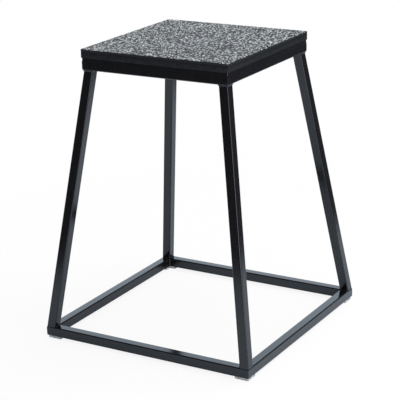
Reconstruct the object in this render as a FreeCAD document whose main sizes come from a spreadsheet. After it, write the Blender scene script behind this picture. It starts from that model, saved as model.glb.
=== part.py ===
import FreeCAD, Part
import Sketcher
import math
import os

# Jump box: a welded frame of square tube with a rubber landing tile.
# +Z is up, the origin is on the floor under the middle of the box, and -Y is the front.

doc = FreeCAD.newDocument("jump_box")

# Driving dimensions in millimetres
sizes = {
    "overall_height": 752,     # floor to the landing surface
    "base_side": 595,          # outside of the base ring
    "top_side": 413,           # outside of the top ring
    "tube_side": 25,           # square tube of the whole frame
    "tube_wall": 2,
    "tube_corner": 3,          # outside corner radius of the tube
    "tube_bore_corner": 1,     # inside corner radius of the tube
    "leg_foot_inset": 0.5,     # leg behind the outer face of the base ring
    "leg_head_inset": 3,       # leg behind the outer face of the top ring
    "deck_thickness": 6,
    "deck_corner": 3,
    "tile_overhang": 2,        # tile past the deck on each side
    "tile_base_height": 16,
    "tile_wear_height": 6,
    "tile_corner": 4,          # upright corners of the tile
    "tile_edge": 1,            # eased edges along its top and bottom
    "foot_height": 6,
    "foot_arm": 38,            # length of each arm of the L-shaped pad
    "foot_width": 20,
    "foot_corner": 3,
    "corner_weld": 4,          # leg length of the beads inside the ring corners
    "foot_weld": 4,            # leg length of the beads at the leg feet
    "head_weld_height": 5,     # beads at the leg heads, measured down the leg
    "head_weld_reach": 4,      # the same beads, measured along the rails
    "weld_setback": 0.4,       # bead behind the outer face of the top ring
}
groove_fill_share = 0.8        # of the tube wall: depth of a bead in a rail's rounded edge
seam_reach_share = 0.6         # of the tube corner: how far in the deck bead reaches

sheet = doc.addObject("Spreadsheet::Sheet", "sizes")
for row, (alias, number) in enumerate(sizes.items(), start=1):
    sheet.set(f"A{row}", alias)
    sheet.set(f"B{row}", str(number))
    sheet.setAlias(f"B{row}", alias)
doc.recompute()

# Places worked out from the driving dimensions, as expressions on the sheet
half_base = "sizes.base_side / 2"
half_top = "sizes.top_side / 2"
half_tube = "sizes.tube_side / 2"
overrun = "sizes.tube_side"
base_top = "(sizes.foot_height + sizes.tube_side)"
deck_top = "(sizes.overall_height - sizes.tile_base_height - sizes.tile_wear_height)"
rail_top = f"({deck_top} - sizes.deck_thickness)"
rail_underside = f"({rail_top} - sizes.tube_side)"
tile_side = "(sizes.top_side + 2 * sizes.tile_overhang)"
groove_fill = f"(sizes.tube_wall * {groove_fill_share})"
bead_height = "(sizes.tube_side - 2 * sizes.tube_corner)"

# Distance of a leg's axis from the middle, along X and along Y, and how the leg leans
leg_foot = f"({half_base} - sizes.leg_foot_inset - {half_tube})"
leg_head = f"({half_top} - sizes.leg_head_inset - {half_tube})"
leg_rise = f"({rail_underside} - {base_top})"
leg_slope = f"(({leg_foot} - {leg_head}) / {leg_rise})"
leg_lean = f"atan({leg_slope} * sqrt(2))"
leg_length = f"({leg_rise} / cos({leg_lean}))"

# Pieces repeat at quarter turns about Z, counted from the front or from the front right corner
sides = ("front", "right", "back", "left")
corners = ("front_right", "back_right", "back_left", "front_left")
quarter_turn = 90
eighth_turn = quarter_turn / 2

up = FreeCAD.Vector(0, 0, 1)
start_point, end_point, centre_point = range(1, 4)    # how a sketch counts an edge's points
sketch_origin = (-1, 1)
nodes = {}


def value(expression):
    return float(sheet.evalExpression(expression))


def keep(piece, label):
    piece.Label = label
    nodes[label] = piece


def place(piece, index, x="0", y="0", z="0", tilt="rotation(vector(0; 0; 1); 0)"):
    turn = f"placement(vector(0; 0; 0); rotation(vector(0; 0; 1); {index * quarter_turn}))"
    piece.setExpression("Placement", f"{turn} * placement(vector({x}; {y}; {z}); {tilt})")


def new_sketch(body, role, raised="0", turn="0"):
    sketch = body.newObject("Sketcher::SketchObject", f"{body.Name}_sketch")
    plane = next(item for item in body.Origin.OriginFeatures if item.Role == role)
    sketch.AttachmentSupport = (plane, "")
    sketch.MapMode = "FlatFace"
    offset = f"placement(vector(0; 0; {raised}); rotation(vector(0; 0; 1); {turn}))"
    sketch.setExpression("AttachmentOffset", offset)
    return sketch


def relate(sketch, kind, *places):
    return sketch.addConstraint(Sketcher.Constraint(kind, *places))


def bind(sketch, kind, places, expression):
    number = relate(sketch, kind, *places, value(expression))
    sketch.setExpression(f"Constraints[{number}]", expression)


def rounded_square(sketch, side, radius):
    # four edges and four corner arcs about the sketch's origin
    half = value(side) / 2
    bend = value(radius)
    flat = half - bend
    first = sketch.GeometryCount
    for index in range(len(sides)):
        turn = FreeCAD.Rotation(up, index * quarter_turn)
        edge_start = turn.multVec(FreeCAD.Vector(-flat, -half, 0))
        edge_end = turn.multVec(FreeCAD.Vector(flat, -half, 0))
        circle = Part.Circle(turn.multVec(FreeCAD.Vector(flat, -flat, 0)), up, bend)
        arc_start = math.radians((index - 1) * quarter_turn)
        arc_end = math.radians(index * quarter_turn)
        sketch.addGeometry(Part.LineSegment(edge_start, edge_end))
        sketch.addGeometry(Part.ArcOfCircle(circle, arc_start, arc_end))
    lines = range(first, sketch.GeometryCount, 2)
    arcs = range(first + 1, sketch.GeometryCount, 2)
    for index, (line, arc) in enumerate(zip(lines, arcs)):
        following = lines[(index + 1) % len(lines)]
        relate(sketch, "Vertical" if index % 2 else "Horizontal", line)
        relate(sketch, "Tangent", line, end_point, arc, start_point)
        relate(sketch, "Tangent", arc, end_point, following, start_point)
    for arc in arcs[1:]:
        relate(sketch, "Equal", arcs[0], arc)
    relate(sketch, "Symmetric", arcs[0], centre_point, arcs[2], centre_point, *sketch_origin)
    bind(sketch, "Radius", (arcs[0],), radius)
    bind(sketch, "DistanceX", (lines[3], start_point, lines[1], start_point), side)
    bind(sketch, "DistanceY", (lines[0], start_point, lines[2], start_point), side)


def outline(sketch, points):
    # closed outline with straight edges, each corner tied to the sketch's origin
    spots = [FreeCAD.Vector(value(x), value(y), 0) for x, y in points]
    first = sketch.GeometryCount
    for index, spot in enumerate(spots):
        sketch.addGeometry(Part.LineSegment(spot, spots[(index + 1) % len(spots)]))
    for index, (x, y) in enumerate(points):
        line = first + index
        following = first + (index + 1) % len(points)
        relate(sketch, "Coincident", line, end_point, following, start_point)
        bind(sketch, "DistanceX", (*sketch_origin, line, start_point), x)
        bind(sketch, "DistanceY", (*sketch_origin, line, start_point), y)


def tube_section(sketch):
    rounded_square(sketch, "sizes.tube_side", "sizes.tube_corner")
    rounded_square(sketch, "(sizes.tube_side - 2 * sizes.tube_wall)", "sizes.tube_bore_corner")


def pad(body, sketch, length, side_type="One side"):
    feature = body.newObject("PartDesign::Pad", f"{body.Name}_pad")
    feature.Profile = sketch
    feature.SideType = side_type
    feature.setExpression("Length", length)
    doc.recompute()


def cut_through(body, sketch):
    volume_before = body.Shape.Volume
    feature = body.newObject("PartDesign::Pocket", f"{body.Name}_cut")
    feature.Profile = sketch
    feature.Type = "ThroughAll"
    feature.SideType = "Symmetric"
    doc.recompute()
    if body.Shape.Volume >= volume_before:
        raise RuntimeError(f"{body.Name}: the cut removes nothing")


def ease(body, where, radius):
    base = body.Tip
    middle = base.Shape.BoundBox.Center.z
    wanted = {
        "top": lambda box: box.ZMin > middle,
        "bottom": lambda box: box.ZMax < middle,
        "upright": lambda box: box.ZMin < middle < box.ZMax,
    }[where]
    edges = enumerate(base.Shape.Edges, start=1)
    names = [f"Edge{number}" for number, edge in edges if wanted(edge.BoundBox)]
    feature = body.newObject("PartDesign::Fillet", f"{body.Name}_round")
    feature.Base = (base, names)
    feature.setExpression("Radius", radius)
    doc.recompute()


def subtract(piece, tools):
    for tool in tools:
        rest = doc.addObject("Part::Cut", f"{piece.Name}_cut")
        rest.Base = piece
        rest.Tool = tool
        piece = rest
    return piece


def group(pieces, label):
    compound = doc.addObject("Part::Compound", label)
    compound.Links = pieces
    keep(compound, label)


def mitred_tube(label, side, level, index):
    # made along X with its outer face to -Y, then turned to its side of the ring
    body = doc.addObject("PartDesign::Body", label)
    section = new_sketch(body, "YZ_Plane")
    tube_section(section)
    pad(body, section, side, "Symmetric")
    mitres = new_sketch(body, "XY_Plane")
    far_x = f"({side} / 2 + {overrun})"
    near_x = f"({side} / 2 - sizes.tube_side - {overrun})"
    far_y = f"({half_tube} + {overrun})"
    outline(mitres, [(far_x, f"-{far_y}"), (far_x, far_y), (near_x, far_y)])
    outline(mitres, [(f"-{far_x}", f"-{far_y}"), (f"-{far_x}", far_y), (f"-{near_x}", far_y)])
    cut_through(body, mitres)
    place(body, index, y=f"-({side} - sizes.tube_side) / 2", z=f"{level} + {half_tube}")
    keep(body, label)
    return body


def leg_bar(name, index):
    # axis along Z with one corner of the tube outwards, then leant in and turned to its corner
    body = doc.addObject("PartDesign::Body", name)
    lean = f"rotation(vector(0; 0; 1); -{eighth_turn}) * rotation(vector(0; 1; 0); -{leg_lean})"
    place(body, index, leg_foot, f"-{leg_foot}", base_top, lean)
    section = new_sketch(body, "XY_Plane", f"-{overrun}", eighth_turn)
    return body, section


def leg(label, index):
    body, section = leg_bar(label, index)
    tube_section(section)
    pad(body, section, f"({leg_length} + 2 * {overrun})")
    # the ends are cut level: seen square to the lean, a level cut drops outwards
    drop = f"({overrun} * tan({leg_lean}))"
    ends = new_sketch(body, "XZ_Plane")
    for level, beyond in (("0", f"-2 * {overrun}"), (leg_length, f"{leg_length} + 2 * {overrun}")):
        inner_end = (f"-{overrun}", f"{level} + {drop}")
        outer_end = (overrun, f"{level} - {drop}")
        outline(ends, [inner_end, outer_end, (overrun, beyond), (f"-{overrun}", beyond)])
    cut_through(body, ends)
    keep(body, label)


def leg_envelope(index):
    # the leg as a solid bar, which the beads are fitted to
    body, section = leg_bar("leg_envelope", index)
    rounded_square(section, "sizes.tube_side", "sizes.tube_corner")
    pad(body, section, f"({leg_length} + 2 * {overrun})")
    return body


def slab(label, side, corner, level, height):
    body = doc.addObject("PartDesign::Body", label)
    sketch = new_sketch(body, "XY_Plane")
    rounded_square(sketch, side, corner)
    pad(body, sketch, height)
    place(body, 0, z=level)
    keep(body, label)
    return body


def foot(label, index):
    # L-shaped pad, centred on the width of the two tubes that meet over it
    outer = f"({half_base} - (sizes.tube_side - sizes.foot_width) / 2)"
    inner = f"({outer} - sizes.foot_width)"
    tip = f"({outer} - sizes.foot_arm)"
    corner_points = [
        (outer, f"-{outer}"), (outer, f"-{tip}"), (inner, f"-{tip}"),
        (inner, f"-{inner}"), (tip, f"-{inner}"), (tip, f"-{outer}"),
    ]
    body = doc.addObject("PartDesign::Body", label)
    sketch = new_sketch(body, "XY_Plane")
    outline(sketch, corner_points)
    pad(body, sketch, "sizes.foot_height")
    ease(body, "upright", "sizes.foot_corner")
    place(body, index)
    keep(body, label)


def upright_beads(label, triangles, level):
    # three-sided beads between upright faces, as tall as the flat part of the tube
    body = doc.addObject("PartDesign::Body", label)
    sketch = new_sketch(body, "XY_Plane", f"({level} + sizes.tube_corner)")
    for triangle in triangles:
        outline(sketch, triangle)
    pad(body, sketch, bead_height)
    keep(body, label)


def corner_triangles(side):
    inside = f"({side} / 2 - sizes.tube_side)"
    short = f"({inside} - sizes.corner_weld)"
    triangles = []
    for x_sign in ("", "-"):
        for y_sign in ("", "-"):
            corner = (x_sign + inside, y_sign + inside)
            along_x = (x_sign + short, y_sign + inside)
            along_y = (x_sign + inside, y_sign + short)
            triangles.append([corner, along_x, along_y])
    return triangles


def cross_rail_triangles():
    end = f"({half_top} - sizes.tube_side)"
    flank = f"({half_tube})"
    triangles = []
    for x_sign in ("", "-"):
        for y_sign in ("", "-"):
            corner = (x_sign + end, y_sign + flank)
            along_x = (f"{x_sign}({end} - sizes.corner_weld)", y_sign + flank)
            along_y = (x_sign + end, f"{y_sign}({flank} + sizes.corner_weld)")
            triangles.append([corner, along_x, along_y])
    return triangles


def bead_block(index, levels, lower, upper):
    # block with level ends, its lower and upper outlines square and tied to the corner
    block = doc.addObject("Part::Wedge", "bead_block")
    limits = {"Ymin": levels[0], "Ymax": levels[1]}
    for axis in ("X", "Z"):
        limits[f"{axis}min"], limits[f"{axis}max"] = lower
        limits[f"{axis}2min"], limits[f"{axis}2max"] = upper
    for name, expression in limits.items():
        block.setExpression(name, expression)
    place(block, index, tilt=f"rotation(vector(1; 0; 0); {quarter_turn})")
    return block


def ring_opening(side, level):
    # the space inside a ring's flat faces, where no bead has anything to sit on
    box = doc.addObject("Part::Box", "ring_opening")
    width = f"({side} - 2 * (sizes.tube_side - sizes.tube_corner))"
    box.setExpression("Length", width)
    box.setExpression("Width", width)
    box.setExpression("Height", f"2 * {overrun}")
    place(box, 0, f"-{width} / 2", f"-{width} / 2", f"{level} - {overrun}")
    return box


def leg_foot_bead(index, envelope, opening):
    bead = "sizes.foot_weld"
    outer = f"({half_base} - sizes.tube_corner)"
    inner = f"({leg_foot} - {half_tube})"
    lower = (f"{inner} - {bead}", outer)
    upper = (f"{inner} - {bead} * {leg_slope}", outer)
    block = bead_block(index, (base_top, f"{base_top} + {bead}"), lower, upper)
    return subtract(block, [envelope, opening])


def leg_head_bead(index, envelope, opening, rails):
    height = "sizes.head_weld_height"
    middle = f"({leg_head} + {height} * {leg_slope})"
    lower = (f"{middle} - {half_tube}", f"{middle} + {half_tube}")
    upper = (f"{leg_head} - {half_tube} - sizes.head_weld_reach", f"{half_top} - sizes.weld_setback")
    levels = (f"{rail_underside} - {height}", f"{rail_underside} + {groove_fill}")
    block = bead_block(index, levels, lower, upper)
    return subtract(block, [envelope, opening, *rails])


def deck_seam(rails):
    body = doc.addObject("PartDesign::Body", "deck_seam")
    sketch = new_sketch(body, "XY_Plane")
    rounded_square(sketch, "(sizes.top_side - 2 * sizes.weld_setback)", "sizes.deck_corner")
    inner_side = f"(sizes.top_side - 2 * sizes.tube_corner * {seam_reach_share})"
    rounded_square(sketch, inner_side, "sizes.deck_corner")
    pad(body, sketch, groove_fill)
    place(body, 0, z=f"{rail_top} - {groove_fill}")
    return subtract(body, rails)


# Base ring, legs and top ring
for index, side in enumerate(sides):
    mitred_tube(f"base_tube_{side}", "sizes.base_side", "sizes.foot_height", index)
for index, corner in enumerate(corners):
    leg(f"leg_{corner}", index)
top_rails = []
for index, side in enumerate(sides):
    top_rails.append(mitred_tube(f"top_rail_{side}", "sizes.top_side", rail_underside, index))

# Cross rail between the left and right rails, under the middle of the deck
cross_rail = doc.addObject("PartDesign::Body", "cross_rail")
cross_section = new_sketch(cross_rail, "YZ_Plane")
tube_section(cross_section)
pad(cross_rail, cross_section, "(sizes.top_side - 2 * sizes.tube_side)", "Symmetric")
place(cross_rail, 0, z=f"{rail_underside} + {half_tube}")
keep(cross_rail, "cross_rail")

# Deck plate and the two bonded layers of the landing tile
slab("deck_plate", "sizes.top_side", "sizes.deck_corner", rail_top, "sizes.deck_thickness")
tile_base = slab("tile_base", tile_side, "sizes.tile_corner", deck_top, "sizes.tile_base_height")
ease(tile_base, "bottom", "sizes.tile_edge")
wear_level = f"{deck_top} + sizes.tile_base_height"
tile_wear = slab("tile_wear_layer", tile_side, "sizes.tile_corner", wear_level, "sizes.tile_wear_height")
ease(tile_wear, "top", "sizes.tile_edge")

# Pads under the corners of the base ring
for index, corner in enumerate(corners):
    foot(f"foot_{corner}", index)

# Weld beads
upright_beads("base_corner_welds", corner_triangles("sizes.base_side"), "sizes.foot_height")
upright_beads("rail_corner_welds", corner_triangles("sizes.top_side"), rail_underside)
upright_beads("cross_rail_welds", cross_rail_triangles(), rail_underside)
base_opening = ring_opening("sizes.base_side", base_top)
top_opening = ring_opening("sizes.top_side", rail_underside)
foot_beads = []
head_beads = []
for index in range(len(corners)):
    envelope = leg_envelope(index)
    corner_rails = (top_rails[index], top_rails[(index + 1) % len(top_rails)])
    foot_beads.append(leg_foot_bead(index, envelope, base_opening))
    head_beads.append(leg_head_bead(index, envelope, top_opening, corner_rails))
group(foot_beads, "leg_foot_welds")
group(head_beads, "leg_head_welds")
keep(deck_seam(top_rails), "deck_seam_weld")

doc.recompute()
for item in doc.Objects:
    if "Invalid" in item.State or "Error" in item.State:
        raise RuntimeError(f"{item.Label} failed: {item.State}")
for label, piece in nodes.items():
    if piece.Shape.isNull() or not piece.Shape.isValid() or not piece.Shape.Solids:
        raise RuntimeError(f"{label} has no sound solid")

os.makedirs("parts", exist_ok=True)
for label, piece in nodes.items():
    piece.Shape.exportStep(f"parts/{label}.step")
    print(f"{label}: {len(piece.Shape.Solids)} solids, {piece.Shape.Volume:.0f} mm3")
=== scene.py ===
import math

import bmesh
import bpy
from mathutils import Matrix, Quaternion, Vector, noise


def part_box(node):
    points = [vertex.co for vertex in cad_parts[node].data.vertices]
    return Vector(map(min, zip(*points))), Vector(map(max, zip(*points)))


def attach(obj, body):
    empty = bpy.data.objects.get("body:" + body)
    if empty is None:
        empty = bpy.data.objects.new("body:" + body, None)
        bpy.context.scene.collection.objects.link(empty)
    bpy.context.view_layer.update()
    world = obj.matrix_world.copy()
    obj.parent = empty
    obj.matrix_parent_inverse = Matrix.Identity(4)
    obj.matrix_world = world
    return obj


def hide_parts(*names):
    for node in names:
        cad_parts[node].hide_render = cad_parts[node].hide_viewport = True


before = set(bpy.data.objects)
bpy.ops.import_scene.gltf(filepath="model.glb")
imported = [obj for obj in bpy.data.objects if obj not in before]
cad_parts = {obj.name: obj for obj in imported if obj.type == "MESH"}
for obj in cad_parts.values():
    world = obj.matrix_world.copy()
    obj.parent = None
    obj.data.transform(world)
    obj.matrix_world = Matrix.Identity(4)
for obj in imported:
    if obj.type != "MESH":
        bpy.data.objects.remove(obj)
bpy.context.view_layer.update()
scene = bpy.context.scene
scene.view_settings.view_transform = "Standard"

# places that several pieces share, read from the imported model
mm = 0.001
baseLow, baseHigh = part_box("base_tube_front")
railLow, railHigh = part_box("top_rail_front")
legLow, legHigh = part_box("leg_front_right")
tubeSide = baseHigh.z - baseLow.z
baseHalf, topHalf = baseHigh.x, railHigh.x
cornerSigns = {"front_right": (1, -1), "back_right": (1, 1), "back_left": (-1, 1), "front_left": (-1, -1)}
print("frame loaded:", len(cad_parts), "nodes")


def putNode(tree, kind, inputs=None, **settings):
    node = tree.nodes.new(kind)
    for name, value in settings.items():
        setattr(node, name, value)
    for name, value in (inputs or {}).items():
        if isinstance(value, bpy.types.NodeSocket):
            tree.links.new(value, node.inputs[name])
        else:
            node.inputs[name].default_value = value
    return node


def putMath(tree, operation, first, second):
    node = putNode(tree, "ShaderNodeMath", {0: first, 1: second}, operation=operation)
    return node.outputs["Value"]


def mixColours(tree, factor, first, second, blend="MIX"):
    node = putNode(tree, "ShaderNodeMix", {"Factor": factor, "A": first, "B": second},
                   data_type="RGBA", blend_type=blend)
    return node.outputs["Result"]


def putBump(tree, strength, depth, height):
    node = putNode(tree, "ShaderNodeBump", {"Strength": strength, "Distance": depth, "Height": height})
    return node.outputs["Normal"]


def newMaterial(name, **sockets):
    material = bpy.data.materials.new(name)
    material.use_nodes = True
    tree = material.node_tree
    shader = tree.nodes["Principled BSDF"]
    for socket, value in sockets.items():
        shader.inputs[socket.replace("_", " ")].default_value = value
    return material, tree, shader


def feedShader(tree, shader, sources):
    for socket, source in sources.items():
        tree.links.new(source, shader.inputs[socket])


def newGroup(name, inputs, outputs):
    group = bpy.data.node_groups.new(name, "ShaderNodeTree")
    for socket, value in inputs.items():
        made = group.interface.new_socket(socket, in_out="INPUT", socket_type="NodeSocketFloat")
        made.default_value = value
    for socket in outputs:
        group.interface.new_socket(socket, in_out="OUTPUT", socket_type="NodeSocketFloat")
    return group, group.nodes.new("NodeGroupInput"), group.nodes.new("NodeGroupOutput")


def useGroup(tree, group, **inputs):
    node = tree.nodes.new("ShaderNodeGroup")
    node.node_tree = group
    for name, value in inputs.items():
        node.inputs[name].default_value = value
    return node


# uneven patches, for gloss and tone that wander over a surface
mottleSettings = {"scale": 20, "detail": 4, "roughness": 0.6, "low": 0.3, "high": 0.7}


def makeMottleGroup(s):
    inputs = {"Scale": s["scale"], "From": 0, "To": 1}
    group, groupIn, groupOut = newGroup("surfaceMottle", inputs, ["Value"])
    coords = putNode(group, "ShaderNodeTexCoord")
    cloud = putNode(group, "ShaderNodeTexNoise", {
        "Vector": coords.outputs["Object"], "Scale": groupIn.outputs["Scale"],
        "Detail": s["detail"], "Roughness": s["roughness"]})
    spread = putNode(group, "ShaderNodeMapRange", {
        "Value": cloud.outputs["Fac"], "From Min": s["low"], "From Max": s["high"],
        "To Min": groupIn.outputs["From"], "To Max": groupIn.outputs["To"]})
    group.links.new(spread.outputs["Result"], groupOut.inputs["Value"])
    return group


# pressed rubber crumbs: a chance and a shade for each crumb, and its domed height
crumbSettings = {"scale": 320, "bend": 0.0012, "bendDetail": 1, "domeTop": 0.1, "domeFoot": 0.75}


def makeCrumbGroup(s):
    group, groupIn, groupOut = newGroup("rubberCrumbs", {"Scale": s["scale"]}, ["Chance", "Shade", "Height"])
    coords = putNode(group, "ShaderNodeTexCoord")
    wander = putNode(group, "ShaderNodeTexNoise", {
        "Vector": coords.outputs["Object"], "Scale": groupIn.outputs["Scale"], "Detail": s["bendDetail"]})
    bent = putNode(group, "ShaderNodeMix", {
        "Factor": s["bend"], "A": coords.outputs["Object"], "B": wander.outputs["Color"]}, data_type="VECTOR")
    cells = putNode(group, "ShaderNodeTexVoronoi", {
        "Vector": bent.outputs["Result"], "Scale": groupIn.outputs["Scale"]})
    drawn = putNode(group, "ShaderNodeSeparateColor", {"Color": cells.outputs["Color"]})
    dome = putNode(group, "ShaderNodeMapRange", {
        "Value": cells.outputs["Distance"], "From Min": s["domeTop"], "From Max": s["domeFoot"],
        "To Min": 1, "To Max": 0})
    group.links.new(drawn.outputs["Red"], groupOut.inputs["Chance"])
    group.links.new(drawn.outputs["Green"], groupOut.inputs["Shade"])
    group.links.new(dome.outputs["Result"], groupOut.inputs["Height"])
    return group


mottleGroup = makeMottleGroup(mottleSettings)
crumbGroup = makeCrumbGroup(crumbSettings)

# glossy black powder coat, nearly black in itself: what shows on it is the room
paintSettings = {
    "deep": (0.0032, 0.0033, 0.0037, 1), "pale": (0.0058, 0.006, 0.0068, 1), "toneScale": 64, "ior": 1.5,
    "glossScale": 16, "glossLow": 0.10, "glossHigh": 0.17,
    "peelScale": 420, "peelDetail": 1, "peelStrength": 0.05, "peelDepth": 0.2 * mm,
}


def makePaint(s):
    material, tree, shader = newMaterial("framePaint", IOR=s["ior"])
    coords = putNode(tree, "ShaderNodeTexCoord")
    tone = useGroup(tree, mottleGroup, Scale=s["toneScale"])
    gloss = useGroup(tree, mottleGroup, Scale=s["glossScale"], From=s["glossLow"], To=s["glossHigh"])
    peel = putNode(tree, "ShaderNodeTexNoise", {
        "Vector": coords.outputs["Object"], "Scale": s["peelScale"], "Detail": s["peelDetail"]})
    feedShader(tree, shader, {
        "Base Color": mixColours(tree, tone.outputs["Value"], s["deep"], s["pale"]),
        "Roughness": gloss.outputs["Value"],
        "Normal": putBump(tree, s["peelStrength"], s["peelDepth"], peel.outputs["Fac"])})
    return material


# black rubber of the tile's body
rubberSettings = {
    "deep": (0.007, 0.0076, 0.0095, 1), "pale": (0.0178, 0.0192, 0.0232, 1), "ior": 1.5, "specular": 0.3,
    "crumbScale": 300, "crumbStrength": 0.6, "crumbDepth": 0.4 * mm, "topDarkFade": 8 * mm, "topDarkTone": 0.4,
    "roughScale": 90, "roughLow": 0.72, "roughHigh": 0.92,
}


def makeRubber(s):
    material, tree, shader = newMaterial("tileRubber", IOR=s["ior"], Specular_IOR_Level=s["specular"])
    crumbs = useGroup(tree, crumbGroup, Scale=s["crumbScale"])
    crumbTone = mixColours(tree, crumbs.outputs["Shade"], s["deep"], s["pale"])
    # darker towards the top of the tile's body, just under the wear layer
    coords = putNode(tree, "ShaderNodeTexCoord")
    place = putNode(tree, "ShaderNodeSeparateXYZ", {"Vector": coords.outputs["Object"]})
    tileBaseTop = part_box("tile_base")[1].z
    topDarkening = putNode(tree, "ShaderNodeMapRange", {
        "Value": place.outputs["Z"], "From Min": tileBaseTop - s["topDarkFade"], "From Max": tileBaseTop,
        "To Min": 1, "To Max": s["topDarkTone"]})
    rough = useGroup(tree, mottleGroup, Scale=s["roughScale"], From=s["roughLow"], To=s["roughHigh"])
    feedShader(tree, shader, {
        "Base Color": mixColours(tree, 1, crumbTone, topDarkening.outputs["Result"], "MULTIPLY"),
        "Roughness": rough.outputs["Value"],
        "Normal": putBump(tree, s["crumbStrength"], s["crumbDepth"], crumbs.outputs["Height"])})
    return material


# speckled wear layer: grey crumbs scattered through the black ones of the top face
fleckSettings = {
    # the sides take their own colour, darker than the top's black crumbs: painted shade on the sides
    "side": (0.0148, 0.0153, 0.0168, 1), "sideBelow": 0.5, "topAbove": 0.85,  # by the normal's z
    "black": (0.032, 0.0352, 0.0375, 1), "charcoal": (0.06, 0.067, 0.071, 1),
    "grey": (0.8, 0.85, 0.875, 1), "pale": (0.91, 0.955, 0.97, 1), "share": 0.2,
    "crumbScale": 342, "crumbStrength": 0.55, "crumbDepth": 0.4 * mm, "grimeScale": 900, "grime": 0.85,
    "roughScale": 70, "roughLow": 0.62, "roughHigh": 0.85, "ior": 1.5, "specular": 0.35,
}


def makeFleck(s):
    material, tree, shader = newMaterial("tileFleck", IOR=s["ior"], Specular_IOR_Level=s["specular"])
    coords = putNode(tree, "ShaderNodeTexCoord")
    facing = putNode(tree, "ShaderNodeSeparateXYZ", {"Vector": coords.outputs["Normal"]})
    upward = putNode(tree, "ShaderNodeMapRange", {
        "Value": facing.outputs["Z"], "From Min": s["sideBelow"], "From Max": s["topAbove"]})
    share = putMath(tree, "MULTIPLY", upward.outputs["Result"], s["share"])
    crumbs = useGroup(tree, crumbGroup, Scale=s["crumbScale"])
    isFleck = putMath(tree, "LESS_THAN", crumbs.outputs["Chance"], share)
    worn = mixColours(tree, crumbs.outputs["Shade"], s["black"], s["charcoal"])
    # on the sides a darker copy of the black rubber, painted shade; on the top the worn black crumbs
    dark = mixColours(tree, upward.outputs["Result"], s["side"], worn)
    light = mixColours(tree, crumbs.outputs["Shade"], s["grey"], s["pale"])
    grime = useGroup(tree, mottleGroup, Scale=s["grimeScale"], From=s["grime"], To=1)
    dusty = mixColours(tree, 1, light, grime.outputs["Value"], "MULTIPLY")
    rough = useGroup(tree, mottleGroup, Scale=s["roughScale"], From=s["roughLow"], To=s["roughHigh"])
    feedShader(tree, shader, {
        "Base Color": mixColours(tree, isFleck, dark, dusty),
        "Roughness": rough.outputs["Value"],
        "Normal": putBump(tree, s["crumbStrength"], s["crumbDepth"], crumbs.outputs["Height"])})
    return material


# milky plastic of the pads
padSettings = {
    "deep": (0.75, 0.785, 0.82, 1), "pale": (0.86, 0.885, 0.915, 1), "toneScale": 140,
    "roughScale": 280, "roughLow": 0.32, "roughHigh": 0.5, "ior": 1.49, "clear": 0.5,
}


def makePadPlastic(s):
    material, tree, shader = newMaterial("padPlastic", IOR=s["ior"], Transmission_Weight=s["clear"])
    tone = useGroup(tree, mottleGroup, Scale=s["toneScale"])
    rough = useGroup(tree, mottleGroup, Scale=s["roughScale"], From=s["roughLow"], To=s["roughHigh"])
    feedShader(tree, shader, {
        "Base Color": mixColours(tree, tone.outputs["Value"], s["deep"], s["pale"]),
        "Roughness": rough.outputs["Value"]})
    return material


framePaint = makePaint(paintSettings)
tileRubber = makeRubber(rubberSettings)
tileFleck = makeFleck(fleckSettings)
padPlastic = makePadPlastic(padSettings)
print("materials made")

# tubes, rails and plate keep their CAD shape
paintedNodes = ("base_tube", "leg_front", "leg_back", "top_rail", "cross_rail", "deck_plate")
for nodeName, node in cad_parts.items():
    if nodeName.startswith(paintedNodes):
        node.data.materials.clear()
        node.data.materials.append(framePaint)
print("frame painted")

sharpAngle = math.radians(50)  # edges that turn by more than this stay sharp


def newPiece(name, bm, material, replacedNode):
    bmesh.ops.recalc_face_normals(bm, faces=bm.faces[:])
    mesh = bpy.data.meshes.new(name)
    bm.to_mesh(mesh)
    bm.free()
    mesh.shade_smooth()
    mesh.set_sharp_from_angle(angle=sharpAngle)
    mesh.materials.append(material)
    piece = bpy.data.objects.new(name, mesh)
    scene.collection.objects.link(piece)
    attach(piece, "root")
    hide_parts(replacedNode)


def vertsOf(geom):
    return [item for item in geom if isinstance(item, bmesh.types.BMVert)]


# landing tile: a grid of small cells, pressed out and in by its crumbs and nibbled along the top edge
tileSettings = {
    "corner": 4 * mm, "edge": 1 * mm, "cell": 2.05 * mm, "edgeSteps": 3,
    "crumb": 2.6 * mm, "topDepth": 0.2 * mm, "sideDepth": 0.3 * mm, "topFacing": 0.9,
    "bite": 0.6 * mm, "biteSize": 4 * mm, "biteReach": 2 * mm, "biteFacing": 0.95, "biteFrom": 0.1,
}


def roundCorners(verts, half, corner):
    flat = half - corner
    for vert in verts:
        x, y = abs(vert.co.x) - flat, abs(vert.co.y) - flat
        if x > 0 and y > 0:
            pull = max(x, y) / math.hypot(x, y)
            vert.co.x = math.copysign(flat + x * pull, vert.co.x)
            vert.co.y = math.copysign(flat + y * pull, vert.co.y)


def dropRows(bm, rim, half, rows):
    # rows are (half width, height) of each ring of the side
    for width, height in rows:
        made = bmesh.ops.extrude_edge_only(bm, edges=rim)["geom"]
        ring = vertsOf(made)
        rim = [item for item in made if isinstance(item, bmesh.types.BMEdge) and item.is_boundary]
        scale = width / half
        bmesh.ops.scale(bm, vec=(scale, scale, 1), verts=ring)
        for vert in ring:
            vert.co.z = height
        half = width
    return rim


def crumbDome(place, size):
    nearest = noise.voronoi(place / size)[0][0]
    return 0.5 - nearest  # out in the middle of a crumb, in between crumbs


def roughen(bm, s, top=None):
    bm.normal_update()
    moves = []
    for vert in bm.verts:
        depth = s["topDepth"] if vert.normal.z > s["topFacing"] else s["sideDepth"]
        move = vert.normal * crumbDome(vert.co, s["crumb"]) * depth
        if top is not None and top - vert.co.z < s["biteReach"] and vert.normal.z < s["biteFacing"]:
            bite = max(0, noise.noise(vert.co / s["biteSize"]) - s["biteFrom"])
            move -= vert.normal * bite * s["bite"]
        moves.append(move)
    for vert, move in zip(bm.verts, moves):
        vert.co += move


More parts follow.
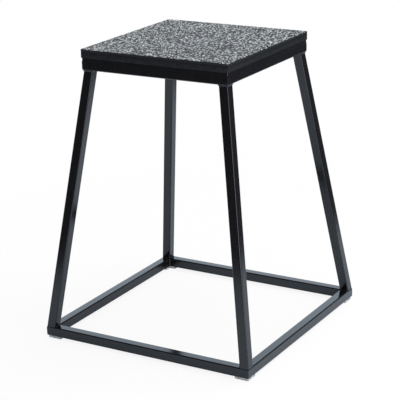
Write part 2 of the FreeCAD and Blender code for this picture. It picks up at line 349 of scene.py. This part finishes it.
def easedRows(half, edge, steps, fromHeight, direction):
    rows = []
    for step in range(1, steps + 1):
        turn = math.pi / 2 * step / steps
        width = half - edge + edge * math.sin(turn)
        rows.append((width, fromHeight + direction * edge * (1 - math.cos(turn))))
    return rows


def straightRows(half, fromHeight, toHeight, cell):
    count = max(1, round(abs(toHeight - fromHeight) / cell))
    return [(half, fromHeight + (toHeight - fromHeight) * step / count) for step in range(1, count + 1)]


def closeUnder(bm, rim, height):
    for vert in {vert for edge in rim for vert in edge.verts}:
        vert.co.z = height
    bmesh.ops.edgeloop_fill(bm, edges=rim)


def makeWearLayer(s):
    low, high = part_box("tile_wear_layer")
    half, flat = high.x, high.x - s["edge"]
    count = round(2 * flat / s["cell"])
    bm = bmesh.new()
    bmesh.ops.create_grid(bm, x_segments=count, y_segments=count, size=flat,
                          matrix=Matrix.Translation((0, 0, high.z)))
    roundCorners(bm.verts, flat, s["corner"])
    rim = [edge for edge in bm.edges if edge.is_boundary]
    rows = easedRows(half, s["edge"], s["edgeSteps"], high.z, -1)
    rows += straightRows(half, high.z - s["edge"], low.z, s["cell"])
    rim = dropRows(bm, rim, flat, rows)
    roughen(bm, s, top=high.z)
    closeUnder(bm, rim, low.z)
    newPiece("landing_tile_top", bm, tileFleck, "tile_wear_layer")


def makeTileBase(s):
    low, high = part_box("tile_base")
    half = high.x
    bm = bmesh.new()
    bmesh.ops.create_grid(bm, x_segments=1, y_segments=1, size=half,
                          matrix=Matrix.Translation((0, 0, high.z)))
    cuts = round(2 * half / s["cell"]) - 1
    bmesh.ops.subdivide_edges(bm, edges=bm.edges[:], cuts=cuts)
    roundCorners(bm.verts, half, s["corner"])
    topVerts = bm.verts[:]
    rows = straightRows(half, high.z, low.z + s["edge"], s["cell"])
    eased = easedRows(half, s["edge"], s["edgeSteps"], low.z, 1)
    rows += list(reversed(eased[:-1])) + [(half - s["edge"], low.z)]
    rim = dropRows(bm, bm.edges[:], half, rows)
    roughen(bm, s)
    for vert in topVerts:
        vert.co.z = high.z
    closeUnder(bm, rim, low.z)
    newPiece("landing_tile_base", bm, tileRubber, "tile_base")


makeWearLayer(tileSettings)
makeTileBase(tileSettings)
print("tile made")

# L-shaped pads under the base corners, with a shallow recess in the sole
footSettings = {
    "width": 20 * mm, "upright": 3 * mm, "uprightCuts": 5, "lip": 0.5 * mm, "lipCuts": 3,
    "lipAngle": math.radians(60), "soleFacing": -0.99,
    "rim": 2.2 * mm, "recess": 0.6 * mm, "recessWall": 0.2 * mm,
}


def bevelEdges(bm, edges, offset, cuts):
    bmesh.ops.bevel(bm, geom=edges, affect="EDGES", offset=offset, segments=cuts, profile=0.5, material=-1)


def makeFoot(corner, s):
    low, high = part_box("foot_" + corner)
    xSign, ySign = cornerSigns[corner]
    outer = max(abs(low.x), abs(high.x))
    tip = min(abs(low.x), abs(high.x))
    inner = outer - s["width"]
    outline = [(outer, outer), (outer, tip), (inner, tip), (inner, inner), (tip, inner), (tip, outer)]
    bm = bmesh.new()
    face = bm.faces.new([bm.verts.new((x * xSign, y * ySign, low.z)) for x, y in outline])
    upper = vertsOf(bmesh.ops.extrude_face_region(bm, geom=[face])["geom"])
    bmesh.ops.translate(bm, vec=(0, 0, high.z - low.z), verts=upper)
    bmesh.ops.recalc_face_normals(bm, faces=bm.faces[:])
    upright = [edge for edge in bm.edges if abs(edge.verts[0].co.z - edge.verts[1].co.z) > s["lip"]]
    bevelEdges(bm, upright, s["upright"], s["uprightCuts"])
    level = [edge for edge in bm.edges if edge.calc_face_angle() > s["lipAngle"]]
    bevelEdges(bm, level, s["lip"], s["lipCuts"])
    bm.normal_update()
    sole = [face for face in bm.faces if face.normal.z < s["soleFacing"]]
    for width in (s["rim"], s["recessWall"]):
        bmesh.ops.inset_region(bm, faces=sole, thickness=width, depth=0, use_even_offset=True)
    soleVerts = list({vert for face in sole for vert in face.verts})
    bmesh.ops.translate(bm, vec=(0, 0, s["recess"]), verts=soleVerts)
    newPiece("foot_pad_" + corner, bm, padPlastic, "foot_" + corner)


for corner in cornerSigns:
    makeFoot(corner, footSettings)
print("feet made")

# how a weld run is made up: ripples along it, uneven in size, and round ends
weldRun = {
    "segments": 12, "ringsPerRipple": 5, "pitch": 2.8 * mm, "fewestRipples": 3, "rippleDepth": 0.08,
    "wobble": 0.08, "wobbleScale": 400, "endPower": 6, "endSize": 0.12,
}
groundRun = {**weldRun, "segments": 16, "ringsPerRipple": 3, "rippleDepth": 0.01, "wobble": 0.02}


def addRun(bm, start, end, out, s):
    # one straight run along local X, then set on its seam facing out
    run = bmesh.new()
    along = end - start
    length = along.length
    ripples = max(s["fewestRipples"], round(length / s["pitch"]))
    count = ripples * s["ringsPerRipple"]
    lastRing = None
    for index in range(count + 1):
        share = index / count
        step = (share * ripples) % 1
        spot = start * s["wobbleScale"] + Vector((round(share * ripples), 0, 0))
        ripple = 1 - s["rippleDepth"] * step * step + noise.noise(spot) * s["wobble"]
        size = max(ripple * (1 - abs(2 * share - 1) ** s["endPower"]) ** 0.5, s["endSize"])
        place = Matrix.Translation((share * length, 0, 0)) @ Matrix.Rotation(math.pi / 2, 4, "Y")
        shape = Matrix.Diagonal((s["halfThick"] * size, s["halfWidth"] * size, 1, 1))
        made = bmesh.ops.create_circle(run, segments=s["segments"], radius=1, matrix=place @ shape)["verts"]
        ring = list({edge for vert in made for edge in vert.link_edges})
        if lastRing:
            bmesh.ops.bridge_loops(run, edges=lastRing + ring)
        lastRing = ring
    bmesh.ops.holes_fill(run, edges=run.edges[:], sides=s["segments"])
    alongAxis = along.normalized()
    outAxis = (out - alongAxis * out.dot(alongAxis)).normalized()
    sideAxis = outAxis.cross(alongAxis)
    seat = Matrix((alongAxis, sideAxis, outAxis)).transposed().to_4x4()
    bmesh.ops.transform(run, matrix=Matrix.Translation(start) @ seat, verts=run.verts[:])
    scratch = bpy.data.meshes.new("run")
    run.to_mesh(scratch)
    run.free()
    bm.from_mesh(scratch)
    bpy.data.meshes.remove(scratch)


legSlant = 0.2 * mm  # a leg leans, so its level cut is wider than the tube
legFootCentre = legHigh.x - tubeSide / 2 - legSlant
legHeadCentre = legLow.x + tubeSide / 2 + legSlant

# round each leg's head, under the top ring
headBead = {
    **weldRun, "halfWidth": 3.3 * mm, "halfThick": 1.5 * mm, "down": 1.6 * mm, "proud": 0.2 * mm,
    "wrap": 1.6 * mm, "clear": 3 * mm, "outerTilt": 0.65, "innerTilt": 0.8,
}


def makeHeadBeads(s):
    bm = bmesh.new()
    near, far = legHeadCentre - tubeSide / 2, legHeadCentre + tubeSide / 2
    inner, outer, wrapped = near - s["proud"], far + s["proud"], far + s["wrap"]
    railIn = topHalf - tubeSide + s["clear"]
    for xSign, ySign in cornerSigns.values():
        def at(x, y):
            return Vector((x * xSign, y * ySign, railLow.z - s["down"]))
        addRun(bm, at(inner, outer), at(wrapped, outer), Vector((0, ySign, -s["outerTilt"])), s)
        addRun(bm, at(outer, wrapped), at(outer, inner), Vector((xSign, 0, -s["outerTilt"])), s)
        addRun(bm, at(inner, railIn), at(inner, far), Vector((-xSign, 0, -s["innerTilt"])), s)
        addRun(bm, at(railIn, inner), at(far, inner), Vector((0, -ySign, -s["innerTilt"])), s)
    newPiece("head_weld_beads", bm, framePaint, "leg_head_welds")


# across the base tubes, on the two inner sides of each leg's foot
footBead = {**weldRun, "halfWidth": 2.9 * mm, "halfThick": 1.3 * mm, "seat": 1.2 * mm, "clear": 3 * mm}


def makeFootBeads(s):
    bm = bmesh.new()
    inner = legFootCentre - tubeSide / 2 - s["seat"]
    railIn, railOut = baseHalf - tubeSide + s["clear"], baseHalf - s["clear"]
    for xSign, ySign in cornerSigns.values():
        def at(x, y):
            return Vector((x * xSign, y * ySign, baseHigh.z + s["seat"]))
        addRun(bm, at(inner, railIn), at(inner, railOut), Vector((-xSign, 0, 1)), s)
        addRun(bm, at(railIn, inner), at(railOut, inner), Vector((0, -ySign, 1)), s)
    newPiece("foot_weld_beads", bm, framePaint, "leg_foot_welds")


# up the mitres: a bead inside, and outside a weld that is ground to a small round
cornerBead = {**footBead, "seat": 1.3 * mm, "over": 0.4 * mm}
groundBead = {**groundRun, "halfWidth": 0.85 * mm, "halfThick": 0.85 * mm, "inset": 0.56 * mm}


def makeCornerBeads(name, nodeName, low, high, s, ground):
    bm = bmesh.new()
    inside = high.x - tubeSide - s["seat"]
    outside = high.x - ground["inset"]
    for xSign, ySign in cornerSigns.values():
        def at(half, z):
            return Vector((half * xSign, half * ySign, z))
        bottom = low.z + s["clear"]
        addRun(bm, at(inside, bottom), at(inside, high.z - s["over"]), Vector((-xSign, -ySign, 0)), s)
        addRun(bm, at(outside, bottom), at(outside, high.z - s["clear"]), Vector((xSign, ySign, 0)), ground)
    newPiece(name, bm, framePaint, nodeName)


def makeCrossRailBeads(s):
    bm = bmesh.new()
    low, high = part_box("cross_rail")
    for xSign, ySign in cornerSigns.values():
        x, y = (high.x - s["seat"]) * xSign, (high.y + s["seat"]) * ySign
        start, end = Vector((x, y, low.z + s["clear"])), Vector((x, y, high.z - s["clear"]))
        addRun(bm, start, end, Vector((-xSign, ySign, 0)), s)
    newPiece("cross_rail_weld_beads", bm, framePaint, "cross_rail_welds")


makeHeadBeads(headBead)
makeFootBeads(footBead)
makeCornerBeads("base_corner_weld_beads", "base_corner_welds", baseLow, baseHigh, cornerBead, groundBead)
makeCornerBeads("rail_corner_weld_beads", "rail_corner_welds", railLow, railHigh, cornerBead, groundBead)
makeCrossRailBeads(cornerBead)

# the seam under the plate is filled and ground flush, so the band looks like one piece
seamSettings = {
    "proud": 0.05 * mm, "thick": 2.8 * mm, "below": 4 * mm, "lap": 0.3 * mm,
    "corner": 3 * mm, "cornerCuts": 6,
}


def makeDeckSeam(s):
    bm = bmesh.new()
    bmesh.ops.create_grid(bm, x_segments=1, y_segments=1, size=topHalf + s["proud"],
                          matrix=Matrix.Translation((0, 0, railHigh.z - s["below"])))
    bmesh.ops.bevel(bm, geom=bm.verts[:], affect="VERTICES", offset=s["corner"],
                    segments=s["cornerCuts"], profile=0.5, material=-1)
    bmesh.ops.inset_individual(bm, faces=bm.faces[:], thickness=s["thick"])
    inside = max(bm.faces, key=lambda face: face.calc_area())
    bmesh.ops.delete(bm, geom=[inside], context="FACES")
    upper = vertsOf(bmesh.ops.extrude_face_region(bm, geom=bm.faces[:])["geom"])
    bmesh.ops.translate(bm, vec=(0, 0, s["below"] + s["lap"]), verts=upper)
    newPiece("deck_seam_bead", bm, framePaint, "deck_seam_weld")


makeDeckSeam(seamSettings)
print("welds made")

# pale paper floor that fades out in an oval, white to the camera and cooler in reflections
floorSettings = {
    "radius": 3, "segments": 96, "colour": (0.9, 0.9, 0.9, 1), "coolColour": (0.79, 0.895, 1.03, 1),
    "cameraWhite": 0.88, "fadeCentre": (-0.055, -0.28, 0), "fadeStretch": (1.39, 0.8, 1),
    "fadeFrom": 1.36, "fadeTo": 1.95,
}


def makeFloorPaper(s):
    material = bpy.data.materials.new("floorPaper")
    material.use_nodes = True
    tree = material.node_tree
    tree.nodes.remove(tree.nodes["Principled BSDF"])
    path = putNode(tree, "ShaderNodeLightPath")
    coords = putNode(tree, "ShaderNodeTexCoord")
    geometry = putNode(tree, "ShaderNodeNewGeometry")
    centred = putNode(tree, "ShaderNodeVectorMath", {
        0: coords.outputs["Object"], 1: s["fadeCentre"]}, operation="SUBTRACT")
    oval = putNode(tree, "ShaderNodeVectorMath", {
        0: centred.outputs["Vector"], 1: s["fadeStretch"]}, operation="MULTIPLY")
    away = putNode(tree, "ShaderNodeVectorMath", {0: oval.outputs["Vector"]}, operation="LENGTH")
    fade = putNode(tree, "ShaderNodeMapRange", {
        "Value": away.outputs["Value"], "From Min": s["fadeFrom"], "From Max": s["fadeTo"]},
        interpolation_type="SMOOTHSTEP")
    paper = putNode(tree, "ShaderNodeBsdfDiffuse", {
        "Color": mixColours(tree, path.outputs["Is Glossy Ray"], s["colour"], s["coolColour"])})
    white = putNode(tree, "ShaderNodeEmission", {"Strength": 1})
    lit = putNode(tree, "ShaderNodeMixShader", {
        "Fac": putMath(tree, "MULTIPLY", path.outputs["Is Camera Ray"], s["cameraWhite"]),
        1: paper.outputs["BSDF"], 2: white.outputs["Emission"]})
    clear = putNode(tree, "ShaderNodeBsdfTransparent")
    both = putNode(tree, "ShaderNodeMixShader", {
        "Fac": putMath(tree, "MAXIMUM", fade.outputs["Result"], geometry.outputs["Backfacing"]),
        1: lit.outputs["Shader"], 2: clear.outputs["BSDF"]})
    tree.links.new(both.outputs["Shader"], tree.nodes["Material Output"].inputs["Surface"])
    return material


def makeFloor(s):
    bm = bmesh.new()
    bmesh.ops.create_circle(bm, cap_ends=True, segments=s["segments"], radius=s["radius"])
    mesh = bpy.data.meshes.new("floor")
    bm.to_mesh(mesh)
    bm.free()
    mesh.materials.append(makeFloorPaper(s))
    floor = bpy.data.objects.new("floor", mesh)
    scene.collection.objects.link(floor)


# studio: white to the camera, soft light that leans to one side, and a pale wall to mirror in the paint
roomSettings = {
    "dim": (0.104, 0.106, 0.13, 1), "wall": (1.22, 1.42, 1.64, 1), "white": (1, 1, 1, 1),
    "wallFrom": 0.12, "wallTo": 0.27, "topFrom": 0.44, "topTo": 0.52,  # by the height of the ray
    "wallSide": (-0.512, 0.859, 0), "sideFrom": 0.5, "sideTo": 0.85, "sideLevel": 0.12,
    "ambient": 0.48, "ambientSide": (0.14, 0.24, 0),
}


def makeWorld(s):
    world = bpy.data.worlds.new("studio")
    scene.world = world
    world.use_nodes = True
    tree = world.node_tree
    tree.nodes.clear()
    path = putNode(tree, "ShaderNodeLightPath")
    coords = putNode(tree, "ShaderNodeTexCoord")

    def alongRay(side):
        node = putNode(tree, "ShaderNodeVectorMath", {
            0: coords.outputs["Generated"], 1: side}, operation="DOT_PRODUCT")
        return node.outputs["Value"]

    def smoothStep(value, start, end, low, high):
        node = putNode(tree, "ShaderNodeMapRange", {
            "Value": value, "From Min": start, "From Max": end, "To Min": low, "To Max": high},
            interpolation_type="SMOOTHSTEP")
        return node.outputs["Result"]

    ray = putNode(tree, "ShaderNodeSeparateXYZ", {"Vector": coords.outputs["Generated"]})
    rise = smoothStep(ray.outputs["Z"], s["wallFrom"], s["wallTo"], 0, 1)
    fall = smoothStep(ray.outputs["Z"], s["topFrom"], s["topTo"], 1, 0)
    onWall = smoothStep(alongRay(s["wallSide"]), s["sideFrom"], s["sideTo"], s["sideLevel"], 1)
    share = putMath(tree, "MULTIPLY", putMath(tree, "MULTIPLY", rise, fall), onWall)
    mirrored = putNode(tree, "ShaderNodeBackground", {
        "Color": mixColours(tree, share, s["dim"], s["wall"]), "Strength": 1})
    ambient = putNode(tree, "ShaderNodeBackground", {
        "Color": s["white"], "Strength": putMath(tree, "ADD", alongRay(s["ambientSide"]), s["ambient"])})
    walls = putNode(tree, "ShaderNodeMixShader", {
        "Fac": path.outputs["Is Glossy Ray"],
        1: ambient.outputs["Background"], 2: mirrored.outputs["Background"]})
    white = putNode(tree, "ShaderNodeBackground", {"Color": s["white"], "Strength": 1})
    both = putNode(tree, "ShaderNodeMixShader", {
        "Fac": putMath(tree, "MAXIMUM", path.outputs["Is Camera Ray"], path.outputs["Is Transmission Ray"]),
        1: walls.outputs["Shader"], 2: white.outputs["Background"]})
    output = putNode(tree, "ShaderNodeOutputWorld")
    tree.links.new(both.outputs["Shader"], output.inputs["Surface"])


lightSettings = {
    "overhead": {"place": (1.67, 1.88, 8.38), "aim": (0.2, 0.2, 0.4), "size": (7.14, 7.14), "power": 535},
    "side": {"place": (1.41, -0.91, 0.56), "aim": (0, 0, 0.56), "size": (1.1, 1.08), "power": 11},
}


def makeLight(name, s):
    lamp = bpy.data.lights.new(name, "AREA")
    lamp.shape = "RECTANGLE"
    lamp.size, lamp.size_y = s["size"]
    lamp.energy = s["power"]
    holder = bpy.data.objects.new(name, lamp)
    scene.collection.objects.link(holder)
    holder.location = s["place"]
    holder.rotation_euler = (Vector(s["aim"]) - Vector(s["place"])).to_track_quat("-Z", "Y").to_euler()
    holder.visible_camera = False


makeFloor(floorSettings)
makeWorld(roomSettings)
for lightName, settings in lightSettings.items():
    makeLight(lightName, settings)
print("studio lit")

# camera where the photograph was taken from
cameraSettings = {
    "azimuth": 30.81, "elevation": 18.10, "distance": 3.6993, "aim": (-0.001, -0.0006, 0.3295),
    "roll": -1.612, "lens": 128.1,
}


def makeCamera(s):
    camera = bpy.data.objects.new("camera", bpy.data.cameras.new("camera"))
    scene.collection.objects.link(camera)
    camera.data.lens = s["lens"]
    around, above = math.radians(s["azimuth"]), math.radians(s["elevation"])
    back = Vector((math.sin(around) * math.cos(above), -math.cos(around) * math.cos(above), math.sin(above)))
    camera.location = Vector(s["aim"]) + back * s["distance"]
    camera.rotation_mode = "QUATERNION"
    roll = Quaternion((0, 0, 1), math.radians(s["roll"]))
    camera.rotation_quaternion = (-back).to_track_quat("-Z", "Y") @ roll
    scene.camera = camera


makeCamera(cameraSettings)
print("camera set")
